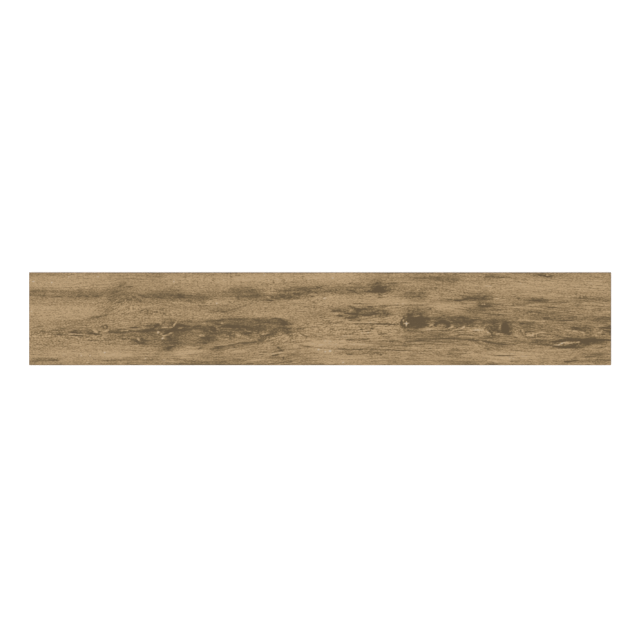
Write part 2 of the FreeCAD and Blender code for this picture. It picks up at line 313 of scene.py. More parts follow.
MIDDLE_LINES = strokes(
    (612, 87, 712, 87.5, 1.2, -0.50), (652, 73, 684, 72, 1.4, 0.20), (640, 60, 664, 60, 1.4, -0.50),
    (662, 66, 742, 66, 1.3, -0.35), (600, 42, 704, 43, 1.4, -0.50), (648, 45, 684, 45, 1.3, -0.35),
    (638, 50, 645, 51, 1.4, -0.60), (690, 44, 742, 44, 1.2, 0.35), (660, 51, 694, 52, 2.4, 0.12),
    (700, 76, 740, 77, 1.3, -0.30), (612, 82, 640, 82, 1.2, -0.35), (600, 61, 634, 61, 1.2, 0.30),
    (736, 62, 764, 63, 1.3, -0.30), (600, 50, 628, 49, 1.2, -0.30), (716, 50, 734, 49, 1.4, 0.35),
    (560, 43, 600, 42, 1.2, -0.35), (560, 80, 600, 82, 1.2, -0.30), (507, 38, 513, 34, 1.6, 0.60),
    (514, 33, 518, 28, 1.6, 0.60), (501, 28, 513, 29, 1.3, 0.45), (496, 20, 512, 22, 1.5, 0.95),
    (494, 22, 520, 27, 1.4, -0.70), (512, 25, 521, 27, 1.2, -0.66), (520, 13, 520, 17, 2.0, 1.30),
    (532, 5, 538, 9, 1.5, 0.60), (436, 7, 478, 13, 1.3, -0.60), (488, 6, 501, 6, 1.4, -0.57),
    (554, 66, 562, 60, 1.7, 0.80), (562, 60, 573, 58, 1.7, 0.65), (552, 62, 558, 60, 1.8, -0.60),
    (552, 41, 579, 37, 1.9, 0.75), (537, 26, 546, 29, 1.3, -0.51), (484, 134, 500, 132, 1.5, 0.60),
    (486, 141, 495, 136, 1.3, -0.63), (493, 139, 501, 138, 1.4, 0.50),
    (500, 151, 540, 152, 1.3, 0.38), (530, 140, 541, 140, 1.6, 0.36),
    (512, 140, 525, 141, 1.8, 0.42), (540, 146, 557, 145, 1.8, 0.51),
    (586, 159, 596, 159, 1.5, 0.80), (570, 151, 574, 151, 1.6, 0.66),
    (583, 149, 591, 148, 1.5, 0.63), (576, 141, 585, 140, 1.6, 0.72),
    (599, 141, 605, 140, 1.5, 0.63), (594, 132, 600, 133, 1.4, 0.57),
    (578, 129, 587, 128, 1.2, 0.48), (589, 123, 597, 127, 1.3, -0.60),
    (600, 151, 636, 150, 1.1, 0.24), (652, 154, 668, 149, 1.4, 0.63, 1),
    (667, 149, 680, 144, 1.4, 0.54), (690, 151, 708, 150, 1.4, 0.50),
    (779, 146, 781, 150, 1.3, 0.30), (786, 160, 788, 164, 1.3, 0.30),
    (797, 141, 799, 145, 1.3, 0.34), (803, 148, 805, 152, 1.3, 0.30),
    (812, 139, 814, 142, 1.3, 0.30), (776, 158, 777, 161, 1.2, 0.30),
    (793, 152, 795, 155, 1.2, -0.34), (806, 133, 808, 136, 1.3, 0.30),
    (712, 150, 731, 150, 1.3, 0.40), (700, 165, 707, 163, 1.5, 0.50),
    (709, 166, 713, 171, 1.7, 0.65), (704, 174, 708, 176, 1.3, 0.40),
    (725, 166, 730, 164, 1.5, 0.50), (727, 158, 732, 158, 1.5, 0.40),
    (733, 167, 737, 168, 1.3, 0.40), (699, 160, 704, 160, 1.3, 0.35),
    (717, 170, 720, 169, 1.4, 0.40), (730, 165, 735, 163, 1.3, -0.50),
    (726, 161, 731, 161, 1.5, 0.66), (713, 145, 719, 144, 1.6, 0.81),
    (723, 142, 731, 143, 1.3, -0.90), (712, 139, 723, 138, 1.3, 0.54),
    (616, 111, 648, 110, 1.8, 0.60), (646, 106, 673, 105, 2.0, 0.81),
    (644, 99, 668, 98, 1.6, 0.60, -2), (628, 102, 642, 101, 1.4, 0.75),
    (652, 92, 661, 91, 1.4, 0.66), (671, 92, 678, 92, 1.4, 0.60), (651, 122, 666, 118, 1.5, 0.65),
    (664, 117, 676, 116, 1.5, 0.50), (676, 114, 690, 116, 1.5, 0.50),
    (668, 111, 676, 113, 1.5, 0.50), (706, 113, 712, 113, 1.2, -0.25),
    (655, 112, 664, 113, 1.5, -0.45), (676, 97, 690, 98, 1.4, -0.30),
    (669, 101, 671, 107, 1.6, 0.50), (676, 104, 701, 102, 1.7, 0.75, -1),
    (690, 121, 706, 118, 1.5, 0.54), (661, 126, 681, 126, 1.2, 0.54),
    (664, 123, 677, 123, 1.1, -0.45), (701, 104, 716, 106, 1.6, 0.66),
    (704, 109, 709, 107, 1.6, 0.60), (709, 111, 715, 112, 1.6, 0.60),
    (718, 112, 730, 112, 1.4, 0.40), (725, 104, 728, 108, 1.8, 0.80),
    (732, 108, 736, 104, 1.3, 0.45), (686, 102, 694, 103, 1.5, 0.50),
    (600, 112, 622, 112, 1.1, -0.35), (718, 99, 719, 106, 1.5, 0.51),
    (731, 99, 732, 107, 1.5, 0.45), (596, 88, 700, 85, 1.1, 0.54), (690, 85, 763, 83, 1.5, 0.75),
    (640, 89, 724, 87, 1.1, -0.48), (635, 73, 662, 73, 1.4, 0.28), (676, 73, 685, 74, 1.6, 0.57),
    (707, 79, 713, 80, 1.5, 0.51), (716, 75, 722, 75, 1.4, 0.48), (742, 92, 749, 92, 1.6, 0.48),
    (749, 100, 756, 100, 1.7, -0.84), (709, 121, 762, 123, 1.1, 0.54),
    (750, 123, 816, 123, 1.1, 0.51), (578, 36, 645, 33, 1.5, 0.60), (640, 85, 604, 86, 1.3, 0.40),
    (584, 24, 592, 24, 1.5, 0.40), (626, 33, 690, 32, 1.1, 0.42), (674, 32, 683, 32, 1.6, 0.54),
    (688, 33, 732, 32, 1.4, 0.72), (728, 31, 784, 30, 1.3, 0.63), (650, 22, 660, 22, 1.5, 0.57),
    (710, 25, 717, 22, 1.3, 0.40), (717, 22, 722, 21, 1.8, 0.75), (775, 20, 792, 20, 1.3, 0.54),
    (645, 53, 662, 52, 1.3, 0.51), (679, 53, 695, 52, 1.5, 0.36), (735, 50, 766, 49, 1.2, 0.26),
    (764, 49, 802, 49, 1.2, 0.25), (842, 58, 905, 59, 1.2, -0.40), (860, 63, 925, 67, 1.3, -0.45),
    (750, 40, 782, 41, 1.1, 0.24), (775, 43, 817, 42, 1.2, 0.51),
)
KNOT_LINES = strokes(
    (770, 76, 768, 99, 2.3, 1.05, 8), (764, 86, 779, 86, 1.3, -1.90),
    (771.5, 79, 771.5, 91, 0.8, -2.00), (771, 84.5, 772.5, 84.5, 2.0, -1.60),
    (764, 88, 765, 94, 1.4, -1.20), (787, 99, 798, 102, 1.6, -0.60), (763, 97, 768, 103, 1.5, 0.60),
    (771, 102, 777, 107, 1.6, 0.55), (774, 100, 783, 106, 1.8, 0.60),
    (774, 110, 780, 112, 1.6, 0.63), (780, 101, 784, 105, 1.8, 0.70),
    (784, 108, 786, 112, 1.6, 0.60), (775, 105, 778, 105, 1.4, 0.45),
    (794, 106, 796, 103, 1.4, 0.50), (790, 109, 792, 111, 1.3, 0.40),
    (797, 104, 801, 105, 1.4, 0.45), (800, 106, 806, 98, 1.6, 0.50),
    (812, 103, 818, 101, 1.4, 0.40), (795, 114, 800, 112, 1.3, 0.40), (838, 97, 843, 99, 1.5, 0.50),
    (845, 101, 850, 101, 1.3, 0.40), (835, 94, 839, 96, 1.5, 0.40), (811, 97, 821, 95, 2.0, 0.45),
    (862, 92, 872, 91, 1.6, 0.45), (876, 98, 886, 98, 1.4, 0.45), (888, 95, 891, 88, 1.5, 0.40),
    (879, 86, 885, 88, 1.8, 0.50), (901, 89, 906, 87, 2.2, 0.55), (893, 84, 899, 83, 1.5, 0.40),
    (827, 80, 836, 89, 2.4, 0.54), (836, 89, 854, 88, 3.4, 0.80, 1),
    (850, 87, 861, 82, 3.6, 0.60, 1), (849, 79, 863, 83, 2.6, 0.70, -3),
    (818, 81, 830, 87, 1.3, -0.50, -2), (822, 92, 830, 89, 1.3, -0.40),
    (858, 76, 867, 81, 1.5, -0.90, -1), (862, 81, 863, 84, 1.2, -0.60),
    (868, 79, 885, 80, 1.7, 0.54), (882, 75, 891, 82, 1.5, -1.00, -2),
    (846, 74, 860, 77, 1.1, -0.45, -1), (812, 73, 822, 73, 1.2, -0.45),
    (826, 69, 842, 69, 1.1, -0.35), (866, 73, 888, 77, 1.1, -0.45, -2),
    (838, 71, 866, 73, 1.1, 0.35, -1), (790, 68, 850, 71, 1.1, 0.39, 1),
    (800, 67, 808, 67, 1.5, 0.54), (836, 65, 905, 70, 1.1, -0.48),
    (900, 70, 936, 69, 1.5, -0.60, 3), (934, 70, 945, 59, 1.9, -0.81, 2),
    (776, 50, 830, 53, 1.3, 0.40), (826, 53, 888, 55, 1.3, 0.50, 1), (886, 54, 926, 50, 1.3, 0.65),
    (924, 50, 952, 46, 1.9, 0.57), (852, 135, 865, 134, 1.6, 0.66), (868, 133, 888, 132, 2.0, 0.50),
    (884, 134, 898, 136, 1.8, 0.40), (926, 136, 931, 139, 1.8, 0.50),
    (928, 142, 936, 142, 1.5, 0.40), (897, 137, 922, 137, 1.5, 0.60),
    (917, 122, 938, 122, 1.8, 0.69), (928, 120, 943, 122, 1.8, 0.66),
    (925, 124, 928, 124, 1.5, -1.60), (930, 125, 933, 124, 1.5, -1.50),
    (817, 116, 824, 116, 1.6, 0.81), (973, 66, 973, 88, 7.0, 0.62), (940, 72, 944, 66, 1.6, 0.60),
    (944, 63, 948, 60, 1.6, 0.60), (944, 78, 947, 74, 1.5, 0.60), (947, 84, 952, 86, 1.5, 0.55),
    (949, 79, 953, 81, 1.5, 0.55), (950, 72, 954, 75, 1.6, 0.60), (955, 88, 960, 87, 1.4, 0.50),
    (956, 80, 958, 76, 1.6, 0.60), (958, 70, 962, 68, 1.8, 0.60), (957, 60, 963, 60, 1.3, 0.50),
    (947, 69, 950, 68, 1.3, 0.45), (948, 67, 952, 67, 1.5, -0.70), (954, 64, 963, 65, 1.5, -0.70),
    (962, 74, 963, 84, 1.5, -0.45), (982, 84, 986, 82, 1.5, 0.50), (985, 77, 989, 79, 1.5, 0.50),
    (983, 70, 985, 72, 1.6, 0.50), (987, 73, 990, 75, 1.3, 0.40), (979, 64, 984, 66, 1.5, 0.50),
    (980, 89, 985, 88, 1.4, 0.40), (988, 63, 1003, 60, 1.3, -0.60), (988, 84, 1004, 79, 1.4, -0.60),
    (1003, 84, 1012, 86, 1.8, 0.55), (1017, 78, 1020, 82, 1.3, 0.40),
    (990, 92, 1032, 91, 1.1, -0.48), (1038, 90, 1056, 89, 1.1, -0.57),
    (1018, 61, 1032, 62, 1.8, -0.70), (1024, 58, 1029, 61, 1.4, -0.50),
    (1030, 62, 1042, 66, 1.4, -0.75), (1040, 66, 1056, 68, 1.3, -0.70),
    (1014, 69, 1031, 69, 1.3, 0.54),
)
RIGHT_LINES = strokes(
    (946, 20, 1002, 20, 1.2, 0.45), (1058, 128, 1108, 129, 1.3, 0.38),
    (1078, 92, 1116, 92, 1.2, 0.45), (1050, 98, 1112, 98, 1.2, 0.20),
    (1030, 133, 1054, 132, 3.2, 0.26), (905, 71, 932, 71, 1.2, -0.42, 1),
    (1066, 48, 1100, 50, 1.9, 0.90), (1094, 53, 1130, 54, 2.2, 0.60),
    (1102, 51, 1172, 51, 3.0, 0.75), (1166, 50, 1190, 51, 2.4, 0.45),
    (1067, 40, 1083, 38, 2.0, 0.90), (1080, 38, 1113, 38, 2.6, 0.84, -1),
    (1107, 38, 1123, 46, 2.6, 0.84, -1), (1120, 44, 1148, 48, 2.0, 0.62),
    (1069, 41, 1086, 42, 1.0, -1.40), (1082, 41, 1092, 46, 1.3, -2.00),
    (1091, 46, 1101, 48, 1.0, -1.00), (1097, 43, 1115, 47, 1.0, -1.30),
    (1118, 47, 1127, 48, 1.2, -0.90), (1106, 78, 1128, 72, 1.7, 0.54, 2),
    (1093, 73, 1108, 71, 1.6, -0.51), (1107, 71, 1126, 68, 1.2, -0.57),
    (1124, 68, 1139, 63, 1.5, -0.81, 1), (1164, 66, 1173, 72, 1.4, -0.66),
    (1169, 64, 1178, 63, 2.2, 0.69), (1166, 77, 1190, 77, 1.3, 0.36),
    (1082, 91, 1113, 92, 1.2, 0.63), (1052, 97, 1065, 98, 1.3, 0.54),
    (1098, 97, 1122, 97, 1.1, 0.28), (1093, 8, 1109, 7, 1.7, 0.75), (1110, 9, 1124, 10, 1.6, 0.63),
    (1112, 16, 1121, 16, 1.6, 0.57), (984, 8, 1002, 8, 1.4, 0.54), (950, 20, 995, 20, 1.2, 0.60),
    (938, 22, 956, 22, 1.3, 0.51), (936, 33, 948, 33, 1.2, 0.36), (1161, 10, 1162, 14, 1.7, 0.60),
    (785, 178, 813, 178, 1.5, 0.42), (829, 165, 843, 165, 1.5, 0.48),
    (829, 159, 835, 157, 1.6, 0.54), (864, 174, 882, 173, 1.8, 0.42),
    (933, 183, 941, 181, 1.4, 0.55), (944, 183, 952, 180, 1.8, 0.40),
    (1040, 184, 1072, 183, 1.8, 0.54), (1056, 184, 1062, 184, 1.3, -0.90),
    (1054, 181, 1070, 181, 1.3, 0.63), (958, 179, 988, 180, 1.1, 0.26),
    (975, 162, 1032, 161, 1.4, -0.36), (928, 163, 947, 161, 1.5, -0.60),
    (994, 137, 1005, 137, 1.5, 0.54), (1034, 133, 1046, 132, 2.2, 0.20),
    (1062, 119, 1084, 118, 1.2, 0.45), (1016, 123, 1047, 124, 1.4, -0.51),
    (949, 136, 962, 137, 1.4, -0.69), (1124, 139, 1129, 139, 1.4, 0.45),
    (1133, 138, 1140, 138, 1.4, 0.40),
)
UPRIGHT_FLECKS = strokes(
    (320, 176, 320, 186, 1.7, 0.34), (309, 166, 309, 176, 1.7, 0.28),
    (335, 165, 335, 174, 1.7, 0.34), (344, 162, 345, 184, 1.7, 0.31),
    (376, 171, 376, 179, 2.0, 0.42), (390, 171, 390, 178, 1.9, 0.42),
    (412, 176, 412, 188, 1.8, 0.36), (434, 167, 434, 175, 1.8, 0.39),
    (453, 167, 453, 174, 1.8, 0.34), (500, 166, 500, 176, 1.8, 0.48),
    (521, 170, 521, 177, 2.0, 0.53), (515, 175, 515, 186, 1.7, 0.31),
    (540, 175, 540, 187, 1.8, 0.36), (559, 175, 559, 187, 1.8, 0.42),
    (566, 170, 566, 180, 1.7, 0.31), (608, 177, 608, 188, 1.8, 0.42),
    (398, 163, 398, 178, 2.0, -0.36), (329, 168, 329, 180, 2.0, -0.34),
    (354, 172, 354, 184, 2.0, -0.34), (508, 163, 508, 176, 2.0, -0.34),
)
PALE_SPECKS = strokes(
    (7, 171, 11, 171, 1.3, -2.00), (45, 169, 48, 169, 1.2, -1.80), (80, 181, 83, 181, 1.2, -1.80),
    (139, 181, 142, 181, 1.2, -1.60), (294, 171, 297, 171, 1.2, -1.90),
    (382, 126, 385, 126, 1.3, -1.90), (480, 184, 483, 184, 1.2, -1.90),
    (602, 137, 606, 137, 1.3, -2.00), (619, 178, 622, 178, 1.2, -1.90),
    (604, 28, 607, 28, 1.2, -1.90), (613, 30, 618, 29, 1.8, -2.20), (590, 32, 594, 32, 1.4, -2.00),
    (640, 6, 643, 6, 1.2, -1.90), (106, 20, 109, 20, 1.2, -1.90), (124, 20, 127, 20, 1.2, -1.90),
    (153, 26, 156, 26, 1.2, -1.90), (118, 6, 121, 6, 1.2, -1.80), (3, 110, 7, 110, 1.2, -1.50),
    (236, 14, 239, 14, 1.3, -2.00), (273, 12, 278, 11, 1.5, -1.20),
)
PATCHES = (UPPER_BAND, UPPER_LIGHTS, FLAME, FLAME_LIGHTS, MIDDLE, KNOTS, RIGHT_END, EDGES)
LINES = (LEFT_LINES, FLAME_LINES, MIDDLE_LINES, KNOT_LINES, RIGHT_LINES)
SPOTS = (UPRIGHT_FLECKS, PALE_SPECKS)

# How a stain and a groove of the grain sink the face, in shares of the relief
STAIN_SINK = 0.6
GROOVE_SINK = 0.5

# Fibres and streaks of the print, the first drawn first: how long and high one is in mm, how many
# mm from the pith's line its two sides stop looking alike, which layer of the noise it is, and how
# strong it is in the lively and in the calm part of the plank. Pores are 0.2 mm wide, too fine to
# show, so the finest fibres are drawn 1 mm high.
FIBRES = (
    (400, 4.5, 9, 4, 0.27, 0.27),
    (60, 3.0, 4, 5, 0.14, 0.14),
    (14, 1.25, 2.4, 6, 0.72, 0.72),
    (3.7, 1.05, 2.0, 10, 2.15, 1.80),
    (23, 1.0, 2.4, 11, 0.40, 1.35),
    (300, 2.2, 2.4, 13, 0.35, 1.05),
)
# Short fibres give way to long ones towards the right end and below the pith. A mm below the pith
# counts as CALMING mm along the plank, and the change runs from LIVELY to CALM mm along.
CALMING = 6.0
LIVELY, CALM = 100, 800

# Half the width of a ring's own line, as a share of the noise that draws it, and its depth
RING_LINE, RING_DEPTH = 0.03, 0.18

# The tone of bare ground, what a whole stain adds to it, and the tone of the palest ink
GROUND_TONE, STAIN_TONE, CHALK_TONE = 0.731, -0.80, 1.8

# The inks of the print, and where each lies on the way from tone 0 to the palest ink's
INKS = (
    (0.0, "dark_heart"),
    (0.156, "warm_brown"),
    (0.294, "oak"),
    (0.433, "straw"),
    (0.556, "pale_fibre"),
    (0.85, "pale_fibre"),
    (1.0, "chalk"),
)

# The depths of a pale and of a dark stain, and how strong the fibres are in each
PALE_STAIN, DARK_STAIN = -0.3, 0.6
PALE_CONTRAST, DARK_CONTRAST = 1.18, 0.78

# The UV map: what share of its height a strip of the face, the back and a side gets, and the gap
# between strips. An end is short, so it gets one part in END_REACH of the map's width.
FACE_SHARE, BACK_SHARE, SIDE_SHARE, MAP_GAP = 0.400, 0.140, 0.010, 0.002
END_REACH = 2.1

# The photograph's frame, in its pixels, and where the plank lies in it
PHOTO_SIDE = 640
FACE_ACROSS = 582.2
FACE_CENTRE = (320.1, 318.8)
LENS = 135.0  # mm, long, so that the plank lies as flat as in the photograph
SENSOR = 36.0

# The floor's half width in metres, its paint, and what lifts it to white where it is seen
FLOOR_REACH = 12.0
FLOOR_COLOUR = (0.80, 0.80, 0.80, 1.0)
FLOOR_LIFT = 0.46

# The room's even light, and a wide soft box overhead: its strength, its width and its two leans
ROOM_LIGHT = 0.35
BOX_LIGHT = 2.06
BOX_WIDTH = math.radians(60)
BOX_LEAN = (math.radians(7), math.radians(-9))


def linear(hex_colour):
    """The linear RGB of an sRGB colour written as six hex digits."""
    shares = [int(hex_colour[i : i + 2], 16) / 255 for i in (0, 2, 4)]
    return tuple(c / 12.92 if c <= 0.04045 else ((c + 0.055) / 1.055) ** 2.4 for c in shares)


def metres(name, description, default):
    """A length that the panel shows."""
    return FloatProperty(name=name, description=description, default=default, unit="LENGTH")


def ink(name, description, hex_colour):
    """A colour that the panel shows."""
    return FloatVectorProperty(
        name=name, description=description, default=linear(hex_colour), subtype="COLOR"
    )


class PlankSizes(bpy.types.PropertyGroup):
    """Sizes of the slab, its arrises and its keyed back."""

    length: metres("Length", "Along the grain", SLAB.x)
    width: metres("Width", "Across the grain", SLAB.y)
    thickness: metres("Thickness", "From the back to the face", SLAB.z)
    face_arris: metres("Face arris", "Bevel round the face", 0.6 * MM)
    back_arris: metres("Back arris", "Bevel round the back", 0.8 * MM)
    ledge: metres("Ledge", "From the tile's side to the outermost recesses", 12 * MM)
    rib: metres("Rib", "Flat crown between two recesses", 3 * MM)
    recess: metres("Recess", "About its width at the mouth", 18 * MM)
    recess_depth: metres("Recess depth", "Depth of a recess", 0.9 * MM)
    recess_draft: FloatProperty(
        name="Recess draft",
        description="Lean of a recess's walls from upright",
        default=math.radians(35),
        subtype="ANGLE",
    )
    relief: metres("Relief", "Depth of the face's relief under the darkest grain", 0.35 * MM)
    cell_along: metres("Cell along", "Spacing of the face's points along the grain", 2.3 * MM)
    cell_across: metres("Cell across", "Spacing of the face's points across it", 1.15 * MM)


class PlankColours(bpy.types.PropertyGroup):
    """Inks of the print, from the darkest to the palest, and colours of the bare porcelain."""

    dark_heart: ink("Dark heart", "Knots and splits", "5F4D33")
    warm_brown: ink("Warm brown", "Stains", "7B6645")
    oak: ink("Oak", "The ground colour", "937A56")
    straw: ink("Straw", "Pale bands", "AA8E68")
    pale_fibre: ink("Pale fibre", "The palest bands", "BCA07A")
    chalk: ink("Chalk", "Specks and bright cracks", "C2B199")
    body: ink("Body", "The ground sides", "86694A")
    biscuit: ink("Biscuit", "The fired back", "A88D6E")
    kiln_wash: ink("Kiln wash", "Dust on the ribs", "D9D2C6")


def label(name):
    """What a size is called on its socket."""
    return name.replace("_", " ").capitalize()


def add(tree, kind, inputs=(), out=0, **settings):
    """Adds a node and returns one of its outputs.

    The inputs are given in order, or by name: each is another node's output, a list of outputs
    or a plain value. The settings are the node's own properties.
    """
    node = tree.nodes.new(kind)
    for name, value in settings.items():
        setattr(node, name, value)
    for key, value in inputs.items() if isinstance(inputs, dict) else enumerate(inputs):
        links = value if isinstance(value, list) else [value]
        if isinstance(links[0], bpy.types.NodeSocket):
            for link in links:
                tree.links.new(link, node.inputs[key])
        else:
            node.inputs[key].default_value = value
    return node.outputs[out]


def new_group(name, inputs, output):
    """An empty Geometry Nodes tree, its inputs' sockets by name, and its output's socket.

    The inputs and the output are given as a socket's kind for each socket's name.
    """
    tree = bpy.data.node_groups.new(name, "GeometryNodeTree")
    for sockets, way in ((inputs, "INPUT"), (output, "OUTPUT")):
        for title, kind in sockets.items():
            tree.interface.new_socket(title, in_out=way, socket_type="NodeSocket" + kind)
    given = tree.nodes.new("NodeGroupInput").outputs
    return tree, given, tree.nodes.new("NodeGroupOutput").inputs[0]


def streaks(tree, flow, long, high, layer, detail=2.0, apart=20.0):
    """Noise drawn out along the grain, from 0 to 1. Long and high are a streak's size in mm.

    The layer moves it to another part of the noise, so that no two layers look alike. Apart is
    how many mm from the pith's line its two sides stop looking alike.
    """
    drawn = add(tree, VECTOR, (flow, (1 / long, 1 / high, 1 / apart)), operation="MULTIPLY")
    moved = add(tree, VECTOR, (drawn, (0.0, 0.0, LAYER * layer)), operation="ADD")
    return add(tree, NOISE, {"Vector": moved, "Scale": 1.0, "Detail": detail})


# What a node group takes for an oval, besides the point that is looked at
OVAL = {"Centre": "Vector", "Half size": "Vector", "Lean": "Float"}


def oval(shape):
    """What a stain or an eye gives to those sockets."""
    return {
        "Centre": (shape.along, shape.up, 0),
        "Half size": (shape.half_length, shape.half_width, 1),
        "Lean": math.radians(shape.lean),
    }


def oval_place(tree, given):
    """Where a point lies in an oval: its offset in mm, and its offset in half sizes."""
    offset = add(tree, VECTOR, (given["Place"], given["Centre"]), operation="SUBTRACT")
    turned = add(
        tree,
        "ShaderNodeVectorRotate",
        {"Vector": offset, "Angle": given["Lean"]},
        rotation_type="Z_AXIS",
        invert=True,
    )
    return offset, add(tree, VECTOR, (turned, given["Half size"]), operation="DIVIDE")


def stain_group():
    """A node group that adds one stain's depth to the depth so far."""
    inputs = {"Depth so far": "Float", "Place": "Vector", "Fray": "Float", **OVAL}
    inputs |= {"Bow": "Float", "Depth": "Float", "Edge": "Float"}
    tree, given, result = new_group("stain", inputs, {"Depth": "Float"})
    _, share = oval_place(tree, given)
    across = add(tree, SEPARATE, (share,)).node.outputs
    arch = add(tree, MATH, (across["X"], across["X"], -1.0), operation="MULTIPLY_ADD")
    side = add(tree, MATH, (arch, given["Bow"], across["Y"]), operation="MULTIPLY_ADD")
    bowed = add(tree, COMBINE, (across["X"], side))
    distance = add(tree, VECTOR, (bowed,), out="Value", operation="LENGTH")
    frayed = add(tree, MATH, (given["Fray"], given["Edge"], distance), operation="MULTIPLY_ADD")
    core = add(tree, MATH, (given["Edge"], -0.5, 1.0), operation="MULTIPLY_ADD")
    rim = add(tree, MATH, (given["Edge"], 0.5, 1.0), operation="MULTIPLY_ADD")
    fade = {"Value": frayed, "From Min": rim, "From Max": core}
    shade = add(tree, RANGE, fade, interpolation_type="SMOOTHSTEP")
    terms = (shade, given["Depth"], given["Depth so far"])
    tree.links.new(add(tree, MATH, terms, operation="MULTIPLY_ADD"), result)
    return tree


def eye_group():
    """A node group that bends the grain lines so far round one eye."""
    inputs = {"Line so far": "Float", "Place": "Vector", **OVAL, "Pull": "Float", "Lift": "Float"}
    tree, given, result = new_group("eye", inputs, {"Line": "Float"})
    offset, share = oval_place(tree, given)
    above = add(tree, SEPARATE, (offset,), out="Y")
    squared = add(tree, VECTOR, (share, share), out="Value", operation="DOT_PRODUCT")
    falling = add(tree, MATH, (squared, -1.0), operation="MULTIPLY")
    nearness = add(tree, MATH, (falling,), operation="EXPONENT")
    bend = add(tree, MATH, (above, given["Pull"], given["Lift"]), operation="MULTIPLY_ADD")
    bent = add(tree, MATH, (bend, nearness), operation="MULTIPLY")
    line = add(tree, MATH, (given["Line so far"], bent), operation="SUBTRACT")
    tree.links.new(line, result)
    return tree


def drawn_line(tree, along, points):
    """How high a smooth line lies that goes through these points, which are in mm."""
    share = add(tree, MATH, (along, CURVE_REACH), operation="DIVIDE")
    height = add(tree, "ShaderNodeFloatCurve", {"Value": share})
    mapping = height.node.mapping
    drawn = mapping.curves[0].points
    for x, y in points[1:-1]:
        drawn.new(x / CURVE_REACH, y / CURVE_REACH)
    for end, (x, y) in ((0, points[0]), (-1, points[-1])):
        drawn[end].location = (x / CURVE_REACH, y / CURVE_REACH)
    mapping.update()
    return add(tree, MATH, (height, CURVE_REACH), operation="MULTIPLY")


def figure(tree, position, given):
    """The fields of the wood's figure on the face: the grain's flow, and the stains' depth.

    Flow holds three lengths in mm: along the plank, from the pith to the growth ring, and from
    the pith's line to the place. What is drawn out along its x follows the rings.
    """
    half = add(tree, COMBINE, (given["Length"], given["Width"]))
    corner = add(tree, VECTOR, {0: half, "Scale": 0.5}, operation="SCALE")
    from_corner = add(tree, VECTOR, (position, corner), operation="ADD")
    place = add(tree, VECTOR, {0: from_corner, "Scale": 1 / MM}, operation="SCALE")
    flat = add(tree, VECTOR, (place, (1.0, 1.0, 0.0)), operation="MULTIPLY")
    across = add(tree, SEPARATE, (flat,)).node.outputs

    wander = streaks(tree, flat, long=140, high=28, layer=1)
    line = add(tree, MATH, (wander, WANDER, across["Y"]), operation="MULTIPLY_ADD")
    bending = eye_group()
    for eye in EYES:
        parts = {"Line so far": line, "Place": flat, **oval(eye)}
        parts |= {"Pull": eye.pull, "Lift": eye.lift}
        line = add(tree, GROUP, parts, node_tree=bending)
    pith = drawn_line(tree, across["X"], PITH_PLACE)
    deep = drawn_line(tree, across["X"], PITH_DEPTH)
    aside = add(tree, MATH, (line, pith), operation="SUBTRACT")
    sides = add(tree, COMBINE, (aside, deep))
    ring = add(tree, VECTOR, (sides,), out="Value", operation="LENGTH")
    flow = add(tree, COMBINE, (across["X"], ring, aside))

    frays = streaks(tree, flow, long=30, high=4, layer=2, detail=3)
    fray = add(tree, RANGE, {"Value": frays, "To Min": -FRAY, "To Max": FRAY})
    depth = 0.0
    stain = stain_group()
    for patches in PATCHES + LINES + SPOTS:
        for first in range(0, len(patches), SHEET):
            drawing = drawing_group(patches[first : first + SHEET], stain)
            depth = add(tree, GROUP, (depth, flat, fray), node_tree=drawing)
    return flow, depth


def drawing_group(patches, stain):
    """A node group that adds the depths of some stains to the depth so far."""
    inputs = {"Depth so far": "Float", "Place": "Vector", "Fray": "Float"}
    tree, given, result = new_group("drawing", inputs, {"Depth": "Float"})
    depth = given["Depth so far"]
    for patch in patches:
        parts = {"Depth so far": depth, "Place": given["Place"], "Fray": given["Fray"]}
        parts |= {**oval(patch), "Bow": patch.bow / patch.half_width}
        parts |= {"Depth": patch.depth, "Edge": patch.edge}
        depth = add(tree, GROUP, parts, node_tree=stain)
    tree.links.new(depth, result)
    return tree


def on_border(tree, along, half):
    """-1 or 1 for a point on the two borders of a grid in one direction, and 0 inside."""
    size = add(tree, MATH, (along,), operation="ABSOLUTE")
    near = add(tree, MATH, (half, WELD), operation="SUBTRACT")
    outside = add(tree, MATH, (size, near), operation="GREATER_THAN")
    sign = add(tree, MATH, (along,), operation="SIGN")
    return add(tree, MATH, (outside, sign), operation="MULTIPLY")


